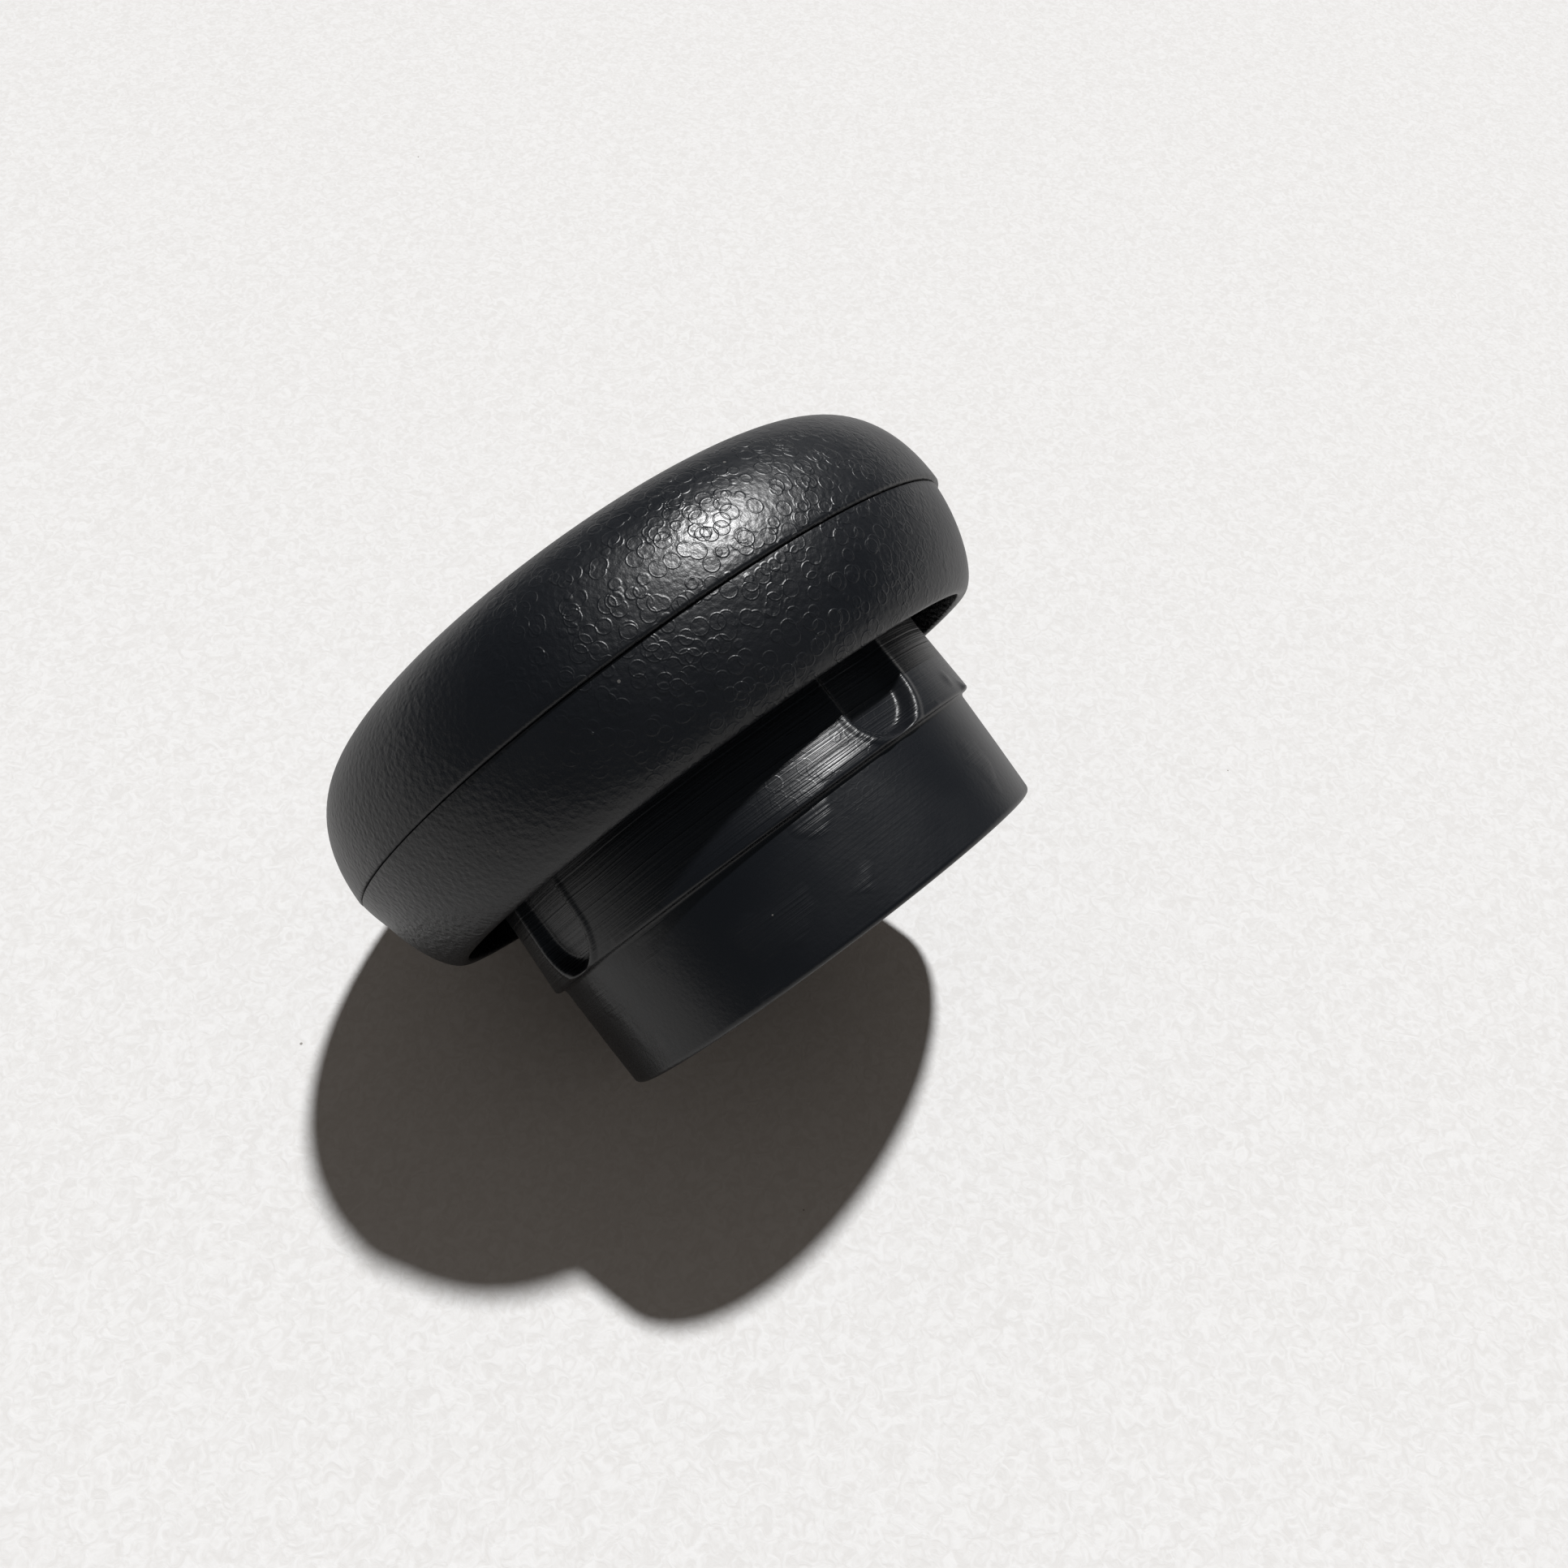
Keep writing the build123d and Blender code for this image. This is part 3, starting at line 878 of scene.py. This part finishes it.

# %% [markdown]
# ## Shared surface effects
# Black plastic is lively only through its surface. Its effects could be built inside each material,
# but several materials need the same ones, so five are made once, as node groups with named
# sockets. Their sizes and heights are in millimetres.
#
# - Moulded grain: fine cells and noise, the etched skin of a moulding tool.
# - Glint rings: shallow round plateaus with a ridge at the edge, which catch a highlight as small
#   rings and crescents. Three layers of them overlap, each shifted from the last.
# - Turned lines: fine uneven ridges along one axis. The collar's were left by the lathe that cut its
#   mould, and the wire's by the die it was drawn through.
# - Worn edges and highlight: a mask of the places where the surface turns sharply, broken up by
#   noise. It paints them paler, partly as wear and partly as a painted highlight along the edges.
# - Dust: a sparse mask of pale specks.

# %% Moulded grain
grain, start, end = group("moulded grain", {"Size": 0.35, "Depth": 0.008})
scale = maths(grain, "DIVIDE", 1 / MM, start["Size"])
fine = node(grain, "TexNoise", {"Vector": start["Place"], "Scale": scale, "Detail": 3.0,
                                "Roughness": 0.6})
cell_scale = maths(grain, "MULTIPLY", scale, 0.6)
cells = node(grain, "TexVoronoi", {"Vector": start["Place"], "Scale": cell_scale, "Smoothness": 0.6},
             feature="SMOOTH_F1")
both = maths(grain, "ADD", fine.outputs[0], maths(grain, "MULTIPLY", cells.outputs["Distance"], 0.8))
grain.links.new(maths(grain, "MULTIPLY", both, start["Depth"]), end)
print("moulded grain of", len(grain.nodes), "nodes")

# %% Glint rings
layer_shifts = (0.0, 3.7, 7.9)
part_height = 0.7
rings, start, end = group("glint rings", {"Spacing": 1.7, "Radius": 0.62, "Width": 0.09,
                                          "Depth": 0.004})
scale = maths(rings, "DIVIDE", 1 / MM, start["Spacing"])
total = 0.0
for shift in layer_shifts:
    moved = node(rings, "VectorMath", {0: start["Place"], 1: (shift * MM, shift * MM / 2, -shift * MM)},
                 operation="ADD").outputs[0]
    spots = node(rings, "TexVoronoi", {"Vector": moved, "Scale": scale}, feature="F1")
    away = maths(rings, "MULTIPLY", spots.outputs["Distance"], start["Spacing"])
    gap = maths(rings, "SUBTRACT", away, start["Radius"])
    plateau = band_of(rings, gap, 0.0, start["Width"], part_height, 0.0)
    ridge = band_of(rings, maths(rings, "ABSOLUTE", gap), 0.0, start["Width"], part_height, 0.0)
    total = maths(rings, "ADD", total, maths(rings, "ADD", plateau, ridge))
rings.links.new(maths(rings, "MULTIPLY", total, start["Depth"]), end)
print("glint rings of", len(rings.nodes), "nodes")

# %% Turned lines
lines, start, end = group("turned lines", {"Along": 0.0, "Spacing": 0.3, "Depth": 0.004})
wobble = node(lines, "TexNoise", {"Vector": start["Place"], "Scale": 120.0, "Detail": 1.0}).outputs[0]
along = maths(lines, "DIVIDE", start["Along"], maths(lines, "MULTIPLY", start["Spacing"], MM))
along = maths(lines, "ADD", along, wobble)
ridges = node(lines, "TexNoise", {"W": along, "Scale": 1.0, "Detail": 3.0, "Roughness": 0.7},
              noise_dimensions="1D").outputs[0]
lines.links.new(maths(lines, "MULTIPLY", ridges, start["Depth"]), end)
print("turned lines of", len(lines.nodes), "nodes")

# %% Worn edges and painted edge highlight
edge_reach = 0.25
# This mask paints sharp edges paler: partly wear, partly a painted highlight along the edges.
wear_and_highlight, start, end = group("worn edges", {"Amount": 0.5}, result="Mask")
rounded = node(wear_and_highlight, "Bevel", {"Radius": edge_reach * MM}, samples=4).outputs[0]
surface = node(wear_and_highlight, "NewGeometry").outputs["Normal"]
turning = node(wear_and_highlight, "VectorMath", {0: rounded, 1: surface}, operation="DOT_PRODUCT").outputs["Value"]
edge = band_of(wear_and_highlight, turning, 0.995, 0.85)
patches = node(wear_and_highlight, "TexNoise", {"Vector": start["Place"], "Scale": 350.0, "Detail": 4.0}).outputs[0]
patches = band_of(wear_and_highlight, patches, 0.42, 0.62)
mask = maths(wear_and_highlight, "MULTIPLY", maths(wear_and_highlight, "MULTIPLY", edge, patches), start["Amount"], clamp=True)
wear_and_highlight.links.new(mask, end)
print("worn edges of", len(wear_and_highlight.nodes), "nodes")

# %% Dust
dust, start, end = group("dust", {"Amount": 0.6}, result="Mask")
specks = node(dust, "TexVoronoi", {"Vector": start["Place"], "Scale": 420.0}, feature="F1")
chance = node(dust, "SeparateColor", {"Color": specks.outputs["Color"]}).outputs[0]
size = band_of(dust, chance, 0.8, 1.0, 0.0, 0.05)
mask = maths(dust, "LESS_THAN", specks.outputs["Distance"], size)
dust.links.new(maths(dust, "MULTIPLY", mask, start["Amount"]), end)

print(len(bpy.data.node_groups), "shared effects")

# %% [markdown]
# ## The black plastics
# The shells, the collar and the cap are the same deep, slightly blue black, but each has its own
# skin: grained with glint rings on the shells, smooth and turned on the collar, evenly grained on
# the cap. One function builds all three from a short list of differences. The grain is shallow
# where the sun's highlight lies and deeper away from it, and the glint rings are only near it. The
# collar's lines are full on the band and the neck, faint on the slim part below the step, and come
# back there in a few rubbed patches.

# %% Start a material
def started(name, colour, roughness, metallic=0.0, specular=0.5):
    """A new material and the parts of it that every finish here needs."""
    material = bpy.data.materials.new(name)
    material.use_nodes = True
    tree = material.node_tree
    shader = tree.nodes["Principled BSDF"]
    shader.inputs["Base Color"].default_value = (*colour, 1)
    shader.inputs["Roughness"].default_value = roughness
    shader.inputs["Metallic"].default_value = metallic
    shader.inputs["Specular IOR Level"].default_value = specular
    place = node(tree, "TexCoord").outputs["Object"]
    return material, tree, shader, place


def raised(tree, shader, height):
    """Lets a height in millimetres shape the surface."""
    bump = node(tree, "Bump", {"Height": height, "Distance": MM})
    tree.links.new(bump.outputs[0], shader.inputs["Normal"])


print("a finish starts from colour, roughness, metallic and specular level")

# %% Build the three plastics
glint_centre = towards(31, 12) * rim_radius * MM + Vector((0, 0, seam * MM / 2))
grain_near, grain_far, deeper_far = 20, 45, 2.6
rings_near, rings_far = 10, 27
fainter_below = 1 / 8
BLACK = (0.0024, 0.003, 0.0045)
# The pale edge colour is partly wear and partly a painted highlight along sharp edges.
WEAR_AND_EDGE_HIGHLIGHT = (0.035, 0.035, 0.038, 1)
DUST = (0.12, 0.115, 0.11, 1)


def plastic(name, roughness, grain_size, grain_depth, ring_depth, line_depth, edge_wear_and_highlight):
    """Black plastic with its own mix of the shared effects."""
    material, tree, shader, place = started(name, BLACK, roughness)
    away = node(tree, "VectorMath", {0: place, 1: glint_centre}, operation="DISTANCE").outputs["Value"]
    depth = band_of(tree, away, grain_near * MM, grain_far * MM, grain_depth, grain_depth * deeper_far)
    height = shared(tree, grain, {"Place": place, "Size": grain_size, "Depth": depth})
    if ring_depth:
        depth = band_of(tree, away, rings_near * MM, rings_far * MM, ring_depth, 0.0)
        more = shared(tree, rings, {"Place": place, "Depth": depth})
        height = maths(tree, "ADD", height, more)
    if line_depth:
        along = node(tree, "SeparateXYZ", {0: place}).outputs["Z"]
        low, high = (band_foot + 0.3) * MM, (band_foot + 1) * MM
        depth = band_of(tree, along, low, high, line_depth * fainter_below, line_depth)
        rubbed = node(tree, "TexNoise", {"Vector": place, "Scale": 170.0, "Detail": 2.0}).outputs[0]
        depth = maths(tree, "MAXIMUM", depth, band_of(tree, rubbed, 0.52, 0.66, 0.0, line_depth))
        more = shared(tree, lines, {"Place": place, "Along": along, "Depth": depth})
        height = maths(tree, "ADD", height, more)
    raised(tree, shader, height)
    # Sharp edges are painted paler, partly as wear and partly as a painted highlight.
    mask = shared(tree, wear_and_highlight, {"Place": place, "Amount": edge_wear_and_highlight})
    speck = shared(tree, dust, {"Place": place})
    colour = blend(tree, mask, (*BLACK, 1), WEAR_AND_EDGE_HIGHLIGHT)
    tree.links.new(blend(tree, speck, colour, DUST), shader.inputs["Base Color"])
    cloud = node(tree, "TexNoise", {"Vector": place, "Scale": 90.0, "Detail": 4.0}).outputs[0]
    sheen = band_of(tree, cloud, 0.3, 0.7, roughness - 0.04, roughness + 0.05)
    tree.links.new(maths(tree, "ADD", sheen, maths(tree, "MULTIPLY", speck, 0.3)),
                   shader.inputs["Roughness"])
    return material


finishes = {
    "grained_plastic": plastic("grained plastic", roughness=0.37, grain_size=0.30, grain_depth=0.034,
                               ring_depth=0.017, line_depth=0, edge_wear_and_highlight=0.5),
    "smooth_plastic": plastic("smooth plastic", roughness=0.36, grain_size=0.25, grain_depth=0.006,
                              ring_depth=0.007, line_depth=0.075, edge_wear_and_highlight=0.6),
    "cap_plastic": plastic("cap plastic", roughness=0.38, grain_size=0.30, grain_depth=0.030,
                           ring_depth=0, line_depth=0, edge_wear_and_highlight=0.5),
}
print(sorted(finishes))

# %% [markdown]
# ## Steel and rubber
# The screws are zinc plated, which leaves a slightly cloudy, bluish skin. The pin and the spring
# are drawn wire, with finer lines. One function makes all three, because they differ only in tone
# and in which way their lines run. The seal is dull black rubber with a pale bloom in patches.

# %% Build the steels
def steel(name, colour, roughness, line_depth, axis):
    """Plated or drawn steel with fine lines that follow one axis."""
    material, tree, shader, place = started(name, colour, roughness, metallic=1.0)
    along = node(tree, "SeparateXYZ", {0: place}).outputs[axis]
    height = shared(tree, lines, {"Place": place, "Along": along, "Spacing": 0.12, "Depth": line_depth})
    raised(tree, shader, height)
    cloud = node(tree, "TexNoise", {"Vector": place, "Scale": 700.0, "Detail": 3.0}).outputs[0]
    tint = blend(tree, band_of(tree, cloud, 0.35, 0.65), (*colour, 1), (*[c * 0.72 for c in colour], 1))
    tree.links.new(tint, shader.inputs["Base Color"])
    tree.links.new(band_of(tree, cloud, 0.3, 0.7, roughness - 0.06, roughness + 0.1),
                   shader.inputs["Roughness"])
    return material


finishes["zinc_steel"] = steel("zinc plated steel", (0.52, 0.53, 0.56), 0.34, 0.0015, "Z")
finishes["pin_steel"] = steel("drawn pin steel", (0.56, 0.55, 0.54), 0.26, 0.001, "X")
finishes["spring_steel"] = steel("drawn spring steel", (0.42, 0.41, 0.40), 0.3, 0.001, "X")
print(sorted(finishes))

# %% Build the rubber
RUBBER = (0.012, 0.012, 0.012)
BLOOM = (0.03, 0.03, 0.029, 1)
rubber, tree, shader, place = started("seal rubber", RUBBER, 0.72, specular=0.35)
height = shared(tree, grain, {"Place": place, "Size": 0.18, "Depth": 0.006})
raised(tree, shader, height)
bloom = node(tree, "TexNoise", {"Vector": place, "Scale": 260.0, "Detail": 4.0}).outputs[0]
tint = blend(tree, band_of(tree, bloom, 0.45, 0.75), (*RUBBER, 1), BLOOM)
tree.links.new(tint, shader.inputs["Base Color"])
finishes["seal_rubber"] = rubber
print(rubber.name, "of", len(tree.nodes), "nodes")

# %% Give every piece its finish
for nodes in riders.values():
    for node_name, made in nodes.items():
        for piece in made:
            piece.data.materials.clear()
            piece.data.materials.append(finishes[slots[node_name]])
print(len(finishes), "finishes")

# %% [markdown]
# ## The sheet of paper
# The grommet lies on a large sheet of white paper, on its rim and the edge of its foot. A level
# floor would mean turning the whole model, and the model's frame has to stay as it is. So the
# sheet leans instead, touching the same two places: the line from the foot's edge that just grazes
# the rim's profile gives its slope. It is clear from behind, so that the model can be looked at
# from that side too. Close up, paper has a faint texture of fibres and a few tiny dark specks. It
# is a shade dimmer where the grommet mirrors it, which keeps the black plastic deep.

# %% Lay the sheet
rest_azimuth = 210
sheet_size = 2.0
foot_edge = Vector((tip_radius, collar_tip))
profile = [Vector(corner[:2]) for corner in (*rolled, *outside)]
rim_edge = max(profile, key=lambda corner: (corner.x - foot_edge.x) / (corner.y - foot_edge.y))
lean = (foot_edge - rim_edge).normalized()
sheet_normal = towards(rest_azimuth) * lean.y
sheet_normal.z = -lean.x
touch = towards(rest_azimuth) * rim_edge.x
touch.z = rim_edge.y

bpy.ops.mesh.primitive_plane_add(size=sheet_size)
sheet = bpy.context.object
sheet.name = "paper_sheet"
sheet.matrix_world = (Matrix.Translation(touch * MM)
                      @ sheet_normal.to_track_quat("Z", "Y").to_matrix().to_4x4())
print("sheet touches the rim at", [round(x, 2) for x in rim_edge])

# %% Make the paper
FIBRE_DARK, FIBRE_PALE = (0.465, 0.46, 0.455, 1), (0.512, 0.512, 0.512, 1)
FLECK = (0.2, 0.19, 0.18, 1)
dimmed = 0.3
paper, tree, shader, place = started("paper", (0.5, 0.5, 0.5), 0.9, specular=0.1)
fibres = node(tree, "TexNoise", {"Vector": place, "Scale": 900.0, "Detail": 5.0, "Distortion": 1.5})
fibre = fibres.outputs[0]
raised(tree, shader, maths(tree, "MULTIPLY", fibre, 0.05))
tone = blend(tree, band_of(tree, fibre, 0.3, 0.7), FIBRE_DARK, FIBRE_PALE)
flecks = node(tree, "TexVoronoi", {"Vector": place, "Scale": 160.0}, feature="F1")
fleck_size = node(tree, "SeparateColor", {"Color": flecks.outputs["Color"]}).outputs[0]
fleck = maths(tree, "LESS_THAN", flecks.outputs["Distance"], band_of(tree, fleck_size, 0.9, 1, 0, 0.03))
tone = blend(tree, fleck, tone, FLECK)
mirrored = maths(tree, "MULTIPLY", node(tree, "LightPath").outputs["Is Glossy Ray"], dimmed)
tree.links.new(blend(tree, mirrored, tone, (0, 0, 0, 1)), shader.inputs["Base Color"])
behind = node(tree, "NewGeometry").outputs["Backfacing"]
clear = node(tree, "BsdfTransparent").outputs[0]
one_sided = node(tree, "MixShader", {0: behind, 1: shader.outputs[0], 2: clear}).outputs[0]
tree.links.new(one_sided, tree.nodes["Material Output"].inputs["Surface"])
sheet.data.materials.append(paper)
print(paper.name, "of", len(tree.nodes), "nodes")

# %% [markdown]
# ## Light
# Hard, low sun comes from the right, which throws one large shadow with a crisp edge, and the room
# adds only a little warm fill. The room is three backgrounds in one: a warm dim one that lights
# things, a cooler dimmer one that the plastic mirrors, and a pale one that the camera sees where
# there is no paper.

# %% Sun and room
sun_azimuth, sun_elevation = 56.6, 31.2
sun = bpy.data.objects.new("sun", bpy.data.lights.new("sun", "SUN"))
bpy.context.scene.collection.objects.link(sun)
sun.data.energy = 5.6
sun.data.angle = radians(3.0)
sun_way = towards(sun_azimuth, sun_elevation)
sun.matrix_world = sun_way.to_track_quat("Z", "Y").to_matrix().to_4x4()

world = bpy.data.worlds.new("room")
bpy.context.scene.world = world
world.use_nodes = True
tree = world.node_tree
fill = tree.nodes["Background"]
fill.inputs["Color"].default_value = (1.0, 0.88, 0.78, 1)
fill.inputs["Strength"].default_value = 0.17
mirrored = node(tree, "Background", {"Color": (0.75, 0.87, 1.0, 1), "Strength": 0.09})
shown = node(tree, "Background", {"Color": (0.8, 0.8, 0.79, 1), "Strength": 1.0})
ray = node(tree, "LightPath").outputs
room = node(tree, "MixShader", {0: ray["Is Glossy Ray"], 1: fill.outputs[0], 2: mirrored.outputs[0]})
room = node(tree, "MixShader", {0: ray["Is Camera Ray"], 1: room.outputs[0], 2: shown.outputs[0]})
tree.links.new(room.outputs[0], tree.nodes["World Output"].inputs["Surface"])
bpy.context.scene.view_settings.view_transform = "Standard"
print("sun", sun.data.energy, "room", fill.inputs["Strength"].default_value)
